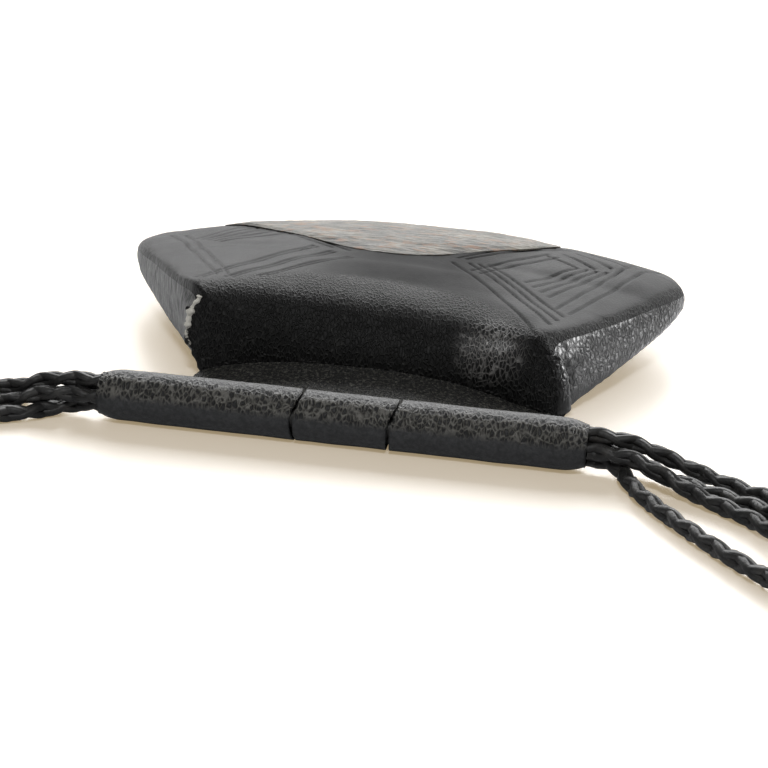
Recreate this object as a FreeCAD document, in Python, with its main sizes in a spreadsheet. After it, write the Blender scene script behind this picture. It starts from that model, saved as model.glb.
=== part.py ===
"""Neck pouch on a rolled cord tube, as a parametric FreeCAD document.

A flat leather pouch, fan shaped in plan, lies on its back.  Its narrow end faces -Y and
carries a leather web that ends in a rolled tube along X.  Four cords run through the tube,
leave it at both ends and are wound into one coil on each side.

Frame: X along the tube, Y from the tube to the pouch, Z up.  The origin is on the flat
back, which is the surface that the pouch rests on.  All sizes are in millimetres.
"""
import FreeCAD, Part
import Sketcher
import math
import os

V = FreeCAD.Vector
os.makedirs("parts", exist_ok=True)
doc = FreeCAD.newDocument("neck_pouch")

# ---------------------------------------------------------------- driving dimensions
SIZES = [
    # pouch outline in plan, measured from the narrow end
    ("front_reach", 30.0),        # from the origin forward to the narrow end
    ("near_width", 66.4),         # across the narrow end
    ("wide_width", 107.6),        # across the two outer corners
    ("far_width", 52.0),          # flat of the far end
    ("corner_depth", 44.0),       # narrow end to the outer corners
    ("pouch_depth", 68.0),        # narrow end to the far end
    # pouch heights
    ("near_height", 17.8),        # top of the narrow end
    ("crown_height", 19.0),       # middle of the domed face
    ("far_height", 12.0),         # top of the far end
    ("corner_height", 12.6),      # upper edge of the side walls at the outer corners
    ("near_wall_low", 1.6),       # lower edge of the side walls at the narrow end
    ("corner_wall_low", 7.6),     # and at the outer corners
    ("edge_drop", 1.4),           # from the top of either end down to its upper edge
    ("seam_drop", 1.7),           # from the upper edge down to the face's seam
    ("front_round", 4.0),         # radius where the face turns down over the narrow end
    ("far_lift", 1.8),            # underside of the far end above the surface
    ("belly_bulge", 1.6),         # how far the side walls bulge
    # flat of the back
    ("back_near_width", 64.8),
    ("back_far_width", 48.0),
    ("back_trim", 0.3),           # cut off below the back to leave it truly flat
    # leather, board and packet
    ("skin", 1.1),                # leather
    ("board", 1.1),               # card under the face, cloth round the packet
    ("inset_proud", 0.45),        # the inset stands above the leather
    ("seam_gap", 0.15),           # round the inset
    # seams
    ("front_seam", 3.5),          # face panel turns down this far behind the narrow end
    ("far_seam", 52.0),           # side walls end here
    # window in the face
    ("window_near", 27.6),        # near vertex of the window, from the narrow end
    ("window_left", 39.0),        # its side vertices, from the middle
    ("window_left_depth", 56.4),
    ("window_right", 29.4),
    ("window_right_depth", 58.6),
    ("window_far_rise", 5.0),     # how far its far edge arches
    ("window_nose_radius", 7.0),
    # cord tube
    ("cord_diameter", 2.9),
    ("cord_gap", 0.06),           # between the cords in the tube
    ("cord_exit", 3.2),           # straight length of a cord outside the tube
    ("bore_gap", 0.1),            # between the cords and the tube
    ("tube_wall", 0.75),
    ("tube_length", 83.4),
    ("tube_middle_length", 16.6),
    ("slit", 0.4),
    ("tube_distance", 24.3),      # narrow end to the tube's axis
    ("tube_shift", -2.0),         # the tube sits a little to the left
    ("tube_taper", 0.45),         # taken off the tube at its outer ends
    ("tube_taper_length", 2.4),
    # leather web between the pouch and the tube
    ("web_thickness", 1.2),
    ("web_rise", 0.3),            # underside of the web above the surface
    ("web_near_width", 60.0),     # at the pouch
    ("web_tube_width", 74.0),     # at the tube
    ("crease_gap", 0.3),          # between the web's rolled edge and the pouch
    ("web_tube_gap", 0.05),
    ("web_tube_height", 3.6),     # middle of the web where it meets the tube
    # coils of the free cord
    ("coil_radius", 16.0),        # middle of the turns
    ("coil_band", 10.2),          # across the turns
    ("coil_bevel", 1.2),
    ("coil_layers", 4),
    ("layer_gap", 0.05),
    ("coil_lift", 0.95),          # the tie passes under the coil
    ("tie_thickness", 0.85),
    ("tie_width", 4.0),
    ("tie_gap", 0.08),
    ("knot_radius", 4.7),
    ("knot_waist", 3.0),
    ("knot_height", 10.0),
    ("knot_gap", 0.1),
    ("left_coil_x", -92.0),
    ("left_coil_y", -76.0),
    ("left_tie_angle", 200.0),    # round the coil, counter-clockwise from +X
    ("left_knot_angle", 300.0),
    ("right_coil_x", 95.0),
    ("right_coil_y", -94.0),
    ("right_tie_angle", -20.0),
    ("right_knot_angle", 60.0),
]
sheet = doc.addObject("Spreadsheet::Sheet", "Sizes")
for row, (alias, value) in enumerate(SIZES, start=1):
    sheet.set(f"A{row}", alias.replace("_", " "))
    sheet.set(f"B{row}", str(value))
    sheet.setAlias(f"B{row}", alias)
doc.recompute()


def size(alias):
    """Value of one named size."""
    return float(sheet.get(alias))


def bound(formula):
    """Formula in plain size names, as an expression on the sheet."""
    words = "".join(c if c.isalnum() or c == "_" else " " for c in formula).split()
    for word in sorted(set(words), key=len, reverse=True):
        if any(word == alias for alias, _ in SIZES):
            formula = _replace_word(formula, word, f"<<Sizes>>.{word}")
    return formula


def _replace_word(text, word, new):
    """Replace whole words only, and leave those already bound."""
    out, i = "", 0
    while i < len(text):
        j = i + len(word)
        before = text[i - 1] if i else " "
        after = text[j] if j < len(text) else " "
        whole = not (before.isalnum() or before in "_.") and not (after.isalnum() or after == "_")
        if text[i:j] == word and whole:
            out += new
            i = j
        else:
            out += text[i]
            i += 1
    return out


def number(formula):
    """Value of a formula in plain size names."""
    return float(sheet.evalExpression(bound(formula).replace("<<Sizes>>.", "")))


sheet.Label = "Sizes"
NODES = {}


def node(obj, name):
    """Name an object as a finished piece."""
    obj.Label = name
    NODES[name] = obj
    return obj


# ---------------------------------------------------------------- sketch helpers
PLANES = {"XY": "XY_Plane", "XZ": "XZ_Plane", "YZ": "YZ_Plane"}


def new_body(name):
    return doc.addObject("PartDesign::Body", name)


def new_sketch(body, name, plane, offset="0"):
    """Sketch on one of the body's own origin planes, at a bound distance along its normal."""
    sketch = body.newObject("Sketcher::SketchObject", name)
    role = PLANES[plane]
    origin = [f for f in body.Origin.OriginFeatures if f.Role == role][0]
    sketch.AttachmentSupport = [(origin, "")]
    sketch.MapMode = "FlatFace"
    if offset != "0":
        sketch.setExpression("AttachmentOffset.Base.z", bound(offset))
    return sketch


def fix(sketch, geo, pos, x, y, label):
    """Hold a sketch point at bound distances from the axes."""
    for kind, formula in (("DistanceX", x), ("DistanceY", y)):
        value = number(formula)
        index = sketch.addConstraint(Sketcher.Constraint(kind, -1, 1, geo, pos, value))
        name = f"{label}_{kind[-1]}"
        sketch.renameConstraint(index, name)
        sketch.setExpression(f"Constraints.{name}", bound(formula))


def arc_radius(sketch, edge, formula, label):
    """Hold an arc's radius at a bound value."""
    index = sketch.addConstraint(Sketcher.Constraint("Radius", edge, number(formula)))
    sketch.renameConstraint(index, label)
    sketch.setExpression(f"Constraints.{label}", bound(formula))


def polygon(sketch, corners, label="corner"):
    """Closed outline of straight lines through bound corners."""
    first, count = len(sketch.Geometry), len(corners)
    points = [V(number(x), number(y), 0) for x, y in corners]
    for i, point in enumerate(points):
        sketch.addGeometry(Part.LineSegment(point, points[(i + 1) % count]), False)
    for i, (x, y) in enumerate(corners):
        before = first + (i - 1) % count
        sketch.addConstraint(Sketcher.Constraint("Coincident", first + i, 1, before, 2))
        fix(sketch, first + i, 1, x, y, f"{label}_{i}")


def pad(body, sketch, length, midplane=False, name="Pad"):
    feature = body.newObject("PartDesign::Pad", name)
    feature.Profile = sketch
    feature.setExpression("Length", bound(length))
    feature.SideType = "Symmetric" if midplane else "One side"
    return feature


# ---------------------------------------------------------------- form of the pouch
# Stations along the pouch, from the narrow end back.  Each row gives the depth and, for the
# cross-section there: half width, lower and upper edge of the side wall, crown, half width
# of the flat back and its height.
def mix(a, b, share):
    return f"(({a}) * {1 - share:.4g} + ({b}) * {share:.4g})"


NEAR_HALF = "near_width / 2"
WIDE_HALF = "wide_width / 2"
FAR_HALF = "far_width / 2"
FLAT = "(0 - back_trim)"
STATIONS = []
# Narrow end (0) to the outer corners (1): shares of the depth, the width and the crown.
for share, spread, rise in ((0, 0, 0), (0.41, 0.44, 0.75), (0.82, 0.87, 1), (1, 1, 1)):
    STATIONS.append((
        f"(corner_depth * {share})", mix(NEAR_HALF, WIDE_HALF, spread),
        mix("near_wall_low", "corner_wall_low", share),
        mix("(near_height - edge_drop)", "corner_height", share),
        mix("near_height", "crown_height", rise),
        mix("back_near_width / 2", "back_far_width / 2", share), FLAT))
# Outer corners (0) to the far end (1).
for share, narrow, drop, lift in ((0.29, 0.07, 0.06, 0), (0.58, 0.27, 0.25, 0),
                                  (0.83, 0.56, 0.56, 0), (1, 1, 1, 1)):
    STATIONS.append((
        mix("corner_depth", "pouch_depth", share), mix(WIDE_HALF, FAR_HALF, narrow),
        mix("corner_wall_low", "(corner_wall_low - 0.6)", share),
        mix("corner_height", "(far_height - edge_drop)", share),
        mix("crown_height", "far_height", drop),
        mix("back_far_width / 2", "far_width / 4", share), f"({lift} * far_lift - back_trim)"))


def section(body, name, station, inset, end):
    """One cross-section of the pouch, drawn inwards by the bound distance inset."""
    depth, half, low, high, crown, flat, floor = station
    sketch = new_sketch(body, name, "XZ", f"front_reach - ({depth}) - ({end}) * ({inset})")
    w = f"({half} - ({inset}))"
    b = f"({flat} - 0.4 * ({inset}))"
    z1 = f"({low} + 0.25 * ({inset}))"
    z2 = f"({high} - 0.7 * ({inset}))"
    zc = f"({crown} - ({inset}))"
    zb = f"({floor} + ({inset}))"
    chord = f"sqrt(({w} - {b})^2 + ({z1} - {zb})^2)"
    sag = f"(belly_bulge * min(1; {chord} / corner_height))"
    W, B, Z1, Z2, ZC, ZB, CHORD, SAG = (number(f) for f in (w, b, z1, z2, zc, zb, chord, sag))
    mx = (W + B) / 2 + SAG * (Z1 - ZB) / CHORD
    mz = (Z1 + ZB) / 2 - SAG * (W - B) / CHORD
    sketch.addGeometry([
        Part.LineSegment(V(-B, ZB, 0), V(B, ZB, 0)),
        Part.Arc(V(B, ZB, 0), V(mx, mz, 0), V(W, Z1, 0)),
        Part.LineSegment(V(W, Z1, 0), V(W, Z2, 0)),
        Part.Arc(V(W, Z2, 0), V(0, ZC, 0), V(-W, Z2, 0)),
        Part.LineSegment(V(-W, Z2, 0), V(-W, Z1, 0)),
        Part.Arc(V(-W, Z1, 0), V(-mx, mz, 0), V(-B, ZB, 0)),
    ], False)
    fix(sketch, 0, 1, f"0 - {b}", zb, "back_left")
    fix(sketch, 0, 2, b, zb, "back_right")
    fix(sketch, 2, 1, w, z1, "rim_right_low")
    fix(sketch, 2, 2, w, z2, "rim_right_high")
    fix(sketch, 4, 1, f"0 - {w}", z2, "rim_left_high")
    fix(sketch, 4, 2, f"0 - {w}", z1, "rim_left_low")
    for edge in range(6):
        sketch.addConstraint(Sketcher.Constraint("Coincident", edge, 2, (edge + 1) % 6, 1))
    belly = f"({chord}^2 / (8 * {sag}) + {sag} / 2)"
    dome = f"(({w}^2 + ({zc} - {z2})^2) / (2 * ({zc} - {z2})))"
    for edge, formula, label in ((1, belly, "belly_right"), (3, dome, "dome"), (5, belly, "belly_left")):
        arc_radius(sketch, edge, formula, label)
    return sketch


def pouch_form(name, inset):
    """Whole form of the pouch, smaller all round by inset (larger if negative)."""
    body = new_body(name)
    ends = [1] + [0] * (len(STATIONS) - 2) + [-1]
    sections = []
    for i, (row, end) in enumerate(zip(STATIONS, ends)):
        sections.append(section(body, f"{name}_station_{i}", row, inset, end))
    loft = body.newObject("PartDesign::AdditiveLoft", f"{name}_loft")
    loft.Profile = sections[0]
    loft.Sections = sections[1:]
    loft.Ruled = True
    return body


def front_corner(name, inset):
    """What the rounding takes off the upper edge of the narrow end, as a bar along X."""
    body = new_body(name)
    sketch = new_sketch(body, f"{name}_profile", "YZ")
    radius = f"(front_round - ({inset}))"
    cy, cz = "(front_round - front_reach)", "(near_height - front_round)"
    ahead, above = "(0 - front_reach - near_height)", "(2 * crown_height)"
    CY, CZ, R, Y0, Z1 = (number(f) for f in (cy, cz, radius, ahead, above))
    lean = R * math.sqrt(0.5)
    sketch.addGeometry([
        Part.LineSegment(V(Y0, CZ, 0), V(CY - R, CZ, 0)),
        Part.Arc(V(CY, CZ + R, 0), V(CY - lean, CZ + lean, 0), V(CY - R, CZ, 0)),
        Part.LineSegment(V(CY, CZ + R, 0), V(CY, Z1, 0)),
        Part.LineSegment(V(CY, Z1, 0), V(Y0, Z1, 0)),
        Part.LineSegment(V(Y0, Z1, 0), V(Y0, CZ, 0)),
    ], False)
    for a, a_end, b, b_end in ((0, 2, 1, 2), (1, 1, 2, 1), (2, 2, 3, 1), (3, 2, 4, 1), (4, 2, 0, 1)):
        sketch.addConstraint(Sketcher.Constraint("Coincident", a, a_end, b, b_end))
    fix(sketch, 0, 1, ahead, cz, "low_front")
    fix(sketch, 0, 2, f"{cy} - {radius}", cz, "arc_front")
    fix(sketch, 2, 1, cy, f"{cz} + {radius}", "arc_top")
    fix(sketch, 3, 1, cy, above, "high_back")
    fix(sketch, 3, 2, ahead, above, "high_front")
    arc_radius(sketch, 1, radius, "round")
    pad(body, sketch, "wide_width + 20", True, f"{name}_pad")
    return body


def block(name, corners, plane, offset, length, midplane=False):
    """Prism on a bound outline, used to part the leather along its seams."""
    body = new_body(name)
    sketch = new_sketch(body, f"{name}_outline", plane, offset)
    polygon(sketch, corners)
    pad(body, sketch, length, midplane, f"{name}_pad")
    return body


def boolean(kind, name, base, tool):
    """Part::Cut, Part::Common or Part::Fuse of two objects."""
    obj = doc.addObject(f"Part::{kind}", name)
    obj.Base = base
    obj.Tool = tool
    return obj


# The back is cut flat, so that the pouch lies on a true plane.
below_back = block("below_back", [
    ("0 - wide_width", "0 - pouch_depth"), ("wide_width", "0 - pouch_depth"),
    ("wide_width", "pouch_depth"), ("0 - wide_width", "pouch_depth")],
    "XY", "0 - near_height", "near_height")


def rounded_form(name, inset):
    """Pouch form with its narrow end rounded over at the top."""
    return boolean("Cut", name, pouch_form(f"{name}_loft", inset), front_corner(f"{name}_corner", inset))


outer_form = boolean("Cut", "outer_form", rounded_form("outer_rounded", "0"), below_back)
under_skin = rounded_form("under_skin", "skin")
under_board = rounded_form("under_board", "(skin + board)")
proud_form = rounded_form("proud_form", "(0 - inset_proud)")
leather = boolean("Cut", "leather_shell", outer_form, under_skin)
liner = boolean("Cut", "liner_shell", under_skin, under_board)

# Above the rim: the side view of the face's seam, as wide as the pouch.
above_rim = block("above_rim", [
    ("0 - front_reach - skin", "near_height - edge_drop - seam_drop"),
    ("corner_depth - front_reach", "corner_height - seam_drop"),
    ("pouch_depth - front_reach + skin", "far_height - edge_drop - seam_drop"),
    ("pouch_depth - front_reach + skin", "crown_height + near_height"),
    ("0 - front_reach - skin", "crown_height + near_height")],
    "YZ", "0", "wide_width + 20", midplane=True)

# Plan of the seams below the rim.
Y_FRONT = "0 - front_reach - skin"
Y_SEAM = "front_seam - front_reach"
Y_FAR_SEAM = "far_seam - front_reach"
NEAR_SEAM = "back_near_width / 2"
FAR_SEAM = "back_far_width / 2"
front_strip = block("front_strip", [
    ("0 - wide_width", Y_FRONT), ("wide_width", Y_FRONT), ("wide_width", Y_SEAM),
    ("0 - wide_width", Y_SEAM)], "XY", "0 - skin", "crown_height + near_height")
back_area = block("back_area", [
    (f"0 - {NEAR_SEAM}", Y_SEAM), (NEAR_SEAM, Y_SEAM), (FAR_SEAM, Y_FAR_SEAM),
    (f"0 - {FAR_SEAM}", Y_FAR_SEAM)], "XY", "0 - skin", "crown_height / 3")
side_areas = {}
for side, sign in (("left", "0 - "), ("right", "0 + ")):
    side_areas[side] = block(f"{side}_area", [
        (f"{sign}{NEAR_SEAM}", Y_SEAM), (f"{sign}wide_width", Y_SEAM),
        (f"{sign}wide_width", Y_FAR_SEAM), (f"{sign}{FAR_SEAM}", Y_FAR_SEAM)],
        "XY", "0 - skin", "crown_height + near_height")
far_area = block("far_area", [
    ("0 - wide_width", Y_FAR_SEAM), ("wide_width", Y_FAR_SEAM),
    ("wide_width", "pouch_depth"), ("0 - wide_width", "pouch_depth")],
    "XY", "0 - skin", "crown_height + near_height")


# ---------------------------------------------------------------- window and inset
def window(name, gap):
    """Prism of the face's window: a V towards the narrow end and an arched far edge."""
    body = new_body(name)
    sketch = new_sketch(body, f"{name}_outline", "XY", "crown_height / 3")
    nose = ("0 + 0", f"window_near + {gap} - front_reach")
    left = (f"0 - (window_left - {gap})", "window_left_depth - front_reach")
    right = (f"window_right - {gap}", "window_right_depth - front_reach")
    rise = f"(window_far_rise - {gap})"
    NOSE, LEFT, RIGHT = (V(number(x), number(y), 0) for x, y in (nose, left, right))
    chord = f"sqrt((({right[0]}) - ({left[0]}))^2 + (({right[1]}) - ({left[1]}))^2)"
    far_radius = f"({chord}^2 / (8 * {rise}) + {rise} / 2)"
    to_left = (LEFT - NOSE).normalize()
    to_right = (RIGHT - NOSE).normalize()
    half_angle = to_left.getAngle(to_right) / 2
    radius = size("window_nose_radius")
    back = radius / math.tan(half_angle)
    inward = (to_left + to_right).normalize()
    nose_middle = NOSE + inward * (radius / math.sin(half_angle) - radius)
    across = (RIGHT - LEFT).normalize()
    far_middle = (LEFT + RIGHT) / 2 + V(-across.y, across.x, 0) * number(rise)
    sketch.addGeometry([
        Part.Arc(NOSE + to_left * back, nose_middle, NOSE + to_right * back),
        Part.LineSegment(NOSE + to_right * back, RIGHT),
        Part.Arc(RIGHT, far_middle, LEFT),
        Part.LineSegment(LEFT, NOSE + to_left * back),
    ], False)
    vertex = sketch.addGeometry(Part.Point(NOSE), True)
    fix(sketch, vertex, 1, nose[0], nose[1], "nose")
    fix(sketch, 1, 2, right[0], right[1], "right")
    fix(sketch, 3, 1, left[0], left[1], "left")
    for arm in (1, 3):
        sketch.addConstraint(Sketcher.Constraint("PointOnObject", vertex, 1, arm))
    sketch.addConstraint(Sketcher.Constraint("Tangent", 0, 2, 1, 1))
    sketch.addConstraint(Sketcher.Constraint("Tangent", 3, 2, 0, 1))
    sketch.addConstraint(Sketcher.Constraint("Coincident", 1, 2, 2, 1))
    sketch.addConstraint(Sketcher.Constraint("Coincident", 2, 2, 3, 1))
    arc_radius(sketch, 0, "window_nose_radius", "nose_round")
    arc_radius(sketch, 2, far_radius, "far_arc")
    pad(body, sketch, "crown_height", False, f"{name}_pad")
    return body


window_hole = window("window_hole", "0")
window_fill = window("window_fill", "seam_gap")

# ---------------------------------------------------------------- pieces of the pouch
# The face is one panel that also turns down over the narrow end.
face_part = boolean("Common", "face_part", leather, above_rim)
lower_leather = boolean("Cut", "lower_leather", leather, above_rim)
front_part = boolean("Common", "front_part", lower_leather, front_strip)
face_panel = boolean("Fuse", "face_panel", face_part, front_part)
node(boolean("Cut", "face_leather", face_panel, window_hole), "face_leather")
node(boolean("Common", "back_leather", lower_leather, back_area), "back_leather")
for side in ("left", "right"):
    piece = boolean("Common", f"{side}_side_leather", lower_leather, side_areas[side])
    node(piece, f"{side}_side_leather")
node(boolean("Common", "far_end_leather", lower_leather, far_area), "far_end_leather")
inset_slab = boolean("Cut", "inset_slab", proud_form, under_skin)
node(boolean("Common", "window_inset", inset_slab, window_fill), "window_inset")
node(boolean("Common", "face_board", liner, above_rim), "face_board")
node(boolean("Cut", "packet_wrap", liner, above_rim), "packet_wrap")
node(under_board, "inner_packet")

# ---------------------------------------------------------------- cord tube
# Three rolled sleeves on one axis, parted by two slits; their outer ends are tapered.
PACKED = "((cord_diameter + cord_gap) * sqrt(2) / 2 + cord_diameter / 2)"
BORE = f"({PACKED} + bore_gap)"
TUBE = f"({BORE} + tube_wall)"
AXIS_Y = "(0 - front_reach - tube_distance)"
OUTER_LENGTH = "((tube_length - tube_middle_length) / 2 - slit)"


def turned(body, name, corners, plane, offset, axis_y):
    """Piece turned from a bound profile about a line of its sketch, or about the Z axis."""
    sketch = new_sketch(body, f"{name}_profile", plane, offset)
    polygon(sketch, corners)
    turn = body.newObject("PartDesign::Revolution", f"{name}_turn")
    turn.Profile = sketch
    if axis_y is None:
        turn.ReferenceAxis = (sketch, ["V_Axis"])
    else:
        height = number(axis_y)
        line = len(corners)
        sketch.addGeometry(Part.LineSegment(V(0, height, 0), V(1, height, 0)), True)
        fix(sketch, line, 1, "0", axis_y, "axis_start")
        fix(sketch, line, 2, "1", axis_y, "axis_end")
        turn.ReferenceAxis = (sketch, ["Axis0"])
    turn.Angle = 360


TUBE_START = "(tube_shift - tube_length / 2)"
TUBE_END = "(tube_shift + tube_length / 2)"
SLEEVES = {
    "left": (TUBE_START, f"({TUBE_START} + {OUTER_LENGTH})"),
    "middle": ("(tube_shift - tube_middle_length / 2)", "(tube_shift + tube_middle_length / 2)"),
    "right": (f"({TUBE_END} - {OUTER_LENGTH})", TUBE_END),
}
for place, (start, end) in SLEEVES.items():
    sleeve = new_body(f"{place}_sleeve")
    inside, outside = f"({AXIS_Y} + {BORE})", f"({AXIS_Y} + {TUBE})"
    corners = [(start, inside), (end, inside), (end, outside), (start, outside)]
    if place == "left":
        corners[3:] = [(f"{start} + tube_taper_length", outside), (start, f"{outside} - tube_taper")]
    if place == "right":
        corners[2:3] = [(end, f"{outside} - tube_taper"), (f"{end} - tube_taper_length", outside)]
    turned(sleeve, f"{place}_sleeve", corners, "XY", TUBE, AXIS_Y)
    node(sleeve, f"cord_tube_{place}")

# ---------------------------------------------------------------- leather web
# Side view: a strip with a rolled edge at the pouch and a hollow edge round the tube.  The
# middle of the rolled edge is the crease that the pouch swings about.
CREASE_Y = "(0 - front_reach - crease_gap - web_thickness / 2)"
CREASE_Z = "(web_rise + web_thickness / 2)"
web_body = new_body("web_strip")
web_sketch = new_sketch(web_body, "web_side", "YZ")
seat = f"({TUBE} + web_tube_gap)"
ends = {}
for level, sign in (("top", "+"), ("bottom", "-")):
    z = f"(web_tube_height {sign} web_thickness / 2)"
    ends[level] = (f"({AXIS_Y} + sqrt({seat}^2 - ({z} - {TUBE})^2))", z)
crease = (number(CREASE_Y), number(CREASE_Z))
half_web = size("web_thickness") / 2
top_end = V(number(ends["top"][0]), number(ends["top"][1]), 0)
low_end = V(number(ends["bottom"][0]), number(ends["bottom"][1]), 0)
top_start = V(crease[0], crease[1] + half_web, 0)
low_start = V(crease[0], crease[1] - half_web, 0)
seat_mid = V(number(f"{AXIS_Y} + sqrt({seat}^2 - (web_tube_height - {TUBE})^2)"),
             size("web_tube_height"), 0)
web_sketch.addGeometry([
    Part.Arc(low_start, V(crease[0] + half_web, crease[1], 0), top_start),
    Part.LineSegment(top_start, top_end),
    Part.Arc(low_end, seat_mid, top_end),
    Part.LineSegment(low_end, low_start),
], False)
for a, a_end, b, b_end in ((0, 2, 1, 1), (1, 2, 2, 2), (2, 1, 3, 1), (3, 2, 0, 1)):
    web_sketch.addConstraint(Sketcher.Constraint("Coincident", a, a_end, b, b_end))
fix(web_sketch, 1, 1, CREASE_Y, f"{CREASE_Z} + web_thickness / 2", "top_start")
fix(web_sketch, 1, 2, ends["top"][0], ends["top"][1], "top_end")
fix(web_sketch, 3, 1, ends["bottom"][0], ends["bottom"][1], "low_end")
fix(web_sketch, 3, 2, CREASE_Y, f"{CREASE_Z} - web_thickness / 2", "low_start")
roll = Sketcher.Constraint("DistanceX", -1, 1, 0, 3, number(CREASE_Y))
web_sketch.renameConstraint(web_sketch.addConstraint(roll), "rolled_edge")
web_sketch.setExpression("Constraints.rolled_edge", bound(CREASE_Y))
arc_radius(web_sketch, 2, seat, "tube_seat")
pad(web_body, web_sketch, "web_tube_width + web_near_width", True, "web_pad")
web_plan = block("web_plan", [
    ("0 - web_near_width / 2", "0 - front_reach"), ("web_near_width / 2", "0 - front_reach"),
    ("tube_shift + web_tube_width / 2", AXIS_Y), ("tube_shift - web_tube_width / 2", AXIS_Y)],
    "XY", "0", "near_height")
node(boolean("Common", "hanging_web", web_body, web_plan), "hanging_web")

# ---------------------------------------------------------------- cords in the tube
PITCH = "(cord_diameter + cord_gap)"
# Four cords in a diamond.  Each keeps its place in the tube: top, front, bottom or back.
AWAY = f"({PITCH} / sqrt(2))"
PLACES = {
    1: (AXIS_Y, f"({TUBE} + {AWAY})"),
    2: (f"({AXIS_Y} - {AWAY})", TUBE),
    3: (AXIS_Y, f"({TUBE} - {AWAY})"),
    4: (f"({AXIS_Y} + {AWAY})", TUBE),
}
for number_in_tube, (cord_y, cord_z) in PLACES.items():
    cord = doc.addObject("Part::Cylinder", f"tube_cord_{number_in_tube}")
    cord.Placement = FreeCAD.Placement(V(0, 0, 0), FreeCAD.Rotation(V(0, 1, 0), 90))
    cord.setExpression("Radius", bound("cord_diameter / 2"))
    cord.setExpression("Height", bound("tube_length"))
    cord.setExpression("Placement.Base.x", bound(TUBE_START))
    cord.setExpression("Placement.Base.y", bound(cord_y))
    cord.setExpression("Placement.Base.z", bound(cord_z))
    node(cord, f"tube_cord_{number_in_tube}")

# ---------------------------------------------------------------- coils, ties and knots
COIL_IN = "(coil_radius - coil_band / 2)"
COIL_OUT = "(coil_radius + coil_band / 2)"
COIL_TOP = "(coil_lift + coil_layers * (cord_diameter + layer_gap))"
TIE_IN = f"(sqrt({COIL_IN}^2 - tie_width^2 / 4) - tie_gap)"
for side in ("left", "right"):
    coil = new_body(f"{side}_coil")
    turned(coil, f"{side}_coil", [
        (f"{COIL_IN} + coil_bevel", "coil_lift"), (f"{COIL_OUT} - coil_bevel", "coil_lift"),
        (COIL_OUT, "coil_lift + coil_bevel"), (COIL_OUT, f"{COIL_TOP} - coil_bevel"),
        (f"{COIL_OUT} - coil_bevel", COIL_TOP), (f"{COIL_IN} + coil_bevel", COIL_TOP),
        (COIL_IN, f"{COIL_TOP} - coil_bevel"), (COIL_IN, "coil_lift + coil_bevel")],
        "XZ", "0", None)
    coil.setExpression("Placement.Base.x", bound(f"{side}_coil_x"))
    coil.setExpression("Placement.Base.y", bound(f"{side}_coil_y"))
    node(coil, f"{side}_coil")

    tie = new_body(f"{side}_tie")
    tie_sketch = new_sketch(tie, f"{side}_tie_section", "XZ")
    corners = []
    for grow in ("tie_thickness", "0"):
        corners.append([
            (f"{TIE_IN} - {grow}", f"coil_lift - tie_gap - {grow}"),
            (f"{COIL_OUT} + tie_gap + {grow}", f"coil_lift - tie_gap - {grow}"),
            (f"{COIL_OUT} + tie_gap + {grow}", f"{COIL_TOP} + tie_gap + {grow}"),
            (f"{TIE_IN} - {grow}", f"{COIL_TOP} + tie_gap + {grow}")])
    polygon(tie_sketch, corners[0], "outside")
    polygon(tie_sketch, corners[1], "inside")
    pad(tie, tie_sketch, "tie_width", True, f"{side}_tie_pad")
    tie.setExpression("Placement.Base.x", bound(f"{side}_coil_x"))
    tie.setExpression("Placement.Base.y", bound(f"{side}_coil_y"))
    tie.setExpression("Placement.Rotation.Angle", bound(f"{side}_tie_angle"))
    node(tie, f"{side}_coil_tie")

    knot = new_body(f"{side}_knot")
    turned(knot, f"{side}_knot", [
        ("0", "0"), ("knot_waist", "0"), ("knot_radius", "knot_height * 0.3"),
        ("knot_radius", "knot_height * 0.7"), ("knot_waist", "knot_height"),
        ("0", "knot_height")], "XZ", "0", None)
    reach = f"({COIL_IN} - knot_gap - knot_radius)"
    for axis, turn in (("x", "cos"), ("y", "sin")):
        formula = f"{side}_coil_{axis} + {reach} * {turn}({side}_knot_angle * 1 deg)"
        knot.setExpression(f"Placement.Base.{axis}", bound(formula))
    node(knot, f"{side}_end_knot")

# ---------------------------------------------------------------- free cords
# Routes from the tube's ends to the coils.  Each cord leaves its place in the tube straight
# for a short way; these points are where it lies from there on.
ROUTES = {
    ("left", 1): [
        (-53.2, -53.8, 5.9), (-62.6, -55.2, 2.6), (-76.5, -53.4, 9.2), (-92.0, -56.4, 11.3)],
    ("left", 2): [
        (-52.8, -56.6, 4.5), (-61.4, -58.6, 1.5), (-70.8, -61.8, 2.2), (-80.8, -59.9, 5.4)],
    ("left", 3): [
        (-50.6, -55.4, 1.46), (-56.6, -61.2, 1.48), (-66.6, -65.6, 1.5), (-77.0, -63.4, 2.4)],
    ("left", 4): [
        (-52.8, -51.8, 1.9), (-62.2, -51.6, 1.4), (-74.0, -54.4, 3.4), (-85.3, -57.6, 8.3)],
    ("right", 1): [
        (48.8, -53.8, 5.4), (59.6, -55.8, 1.9), (70.6, -63.6, 2.0), (77.4, -76.5, 8.0),
        (76.1, -88.9, 11.3)],
    ("right", 2): [
        (48.4, -58.2, 4.5), (57.8, -63.4, 1.5), (67.4, -71.0, 1.5), (73.6, -82.2, 2.6),
        (75.4, -94.0, 5.4)],
    ("right", 3): [
        (45.6, -55.8, 1.48), (46.6, -59.2, 1.48), (49.0, -65.6, 1.5), (56.0, -76.4, 1.48),
        (66.2, -89.8, 1.5), (77.2, -102.3, 2.4)],
    ("right", 4): [
        (48.2, -53.2, 1.9), (55.0, -58.8, 1.48), (67.2, -65.4, 1.46), (74.9, -77.6, 4.6),
        (75.6, -91.3, 8.3)],
}


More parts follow.
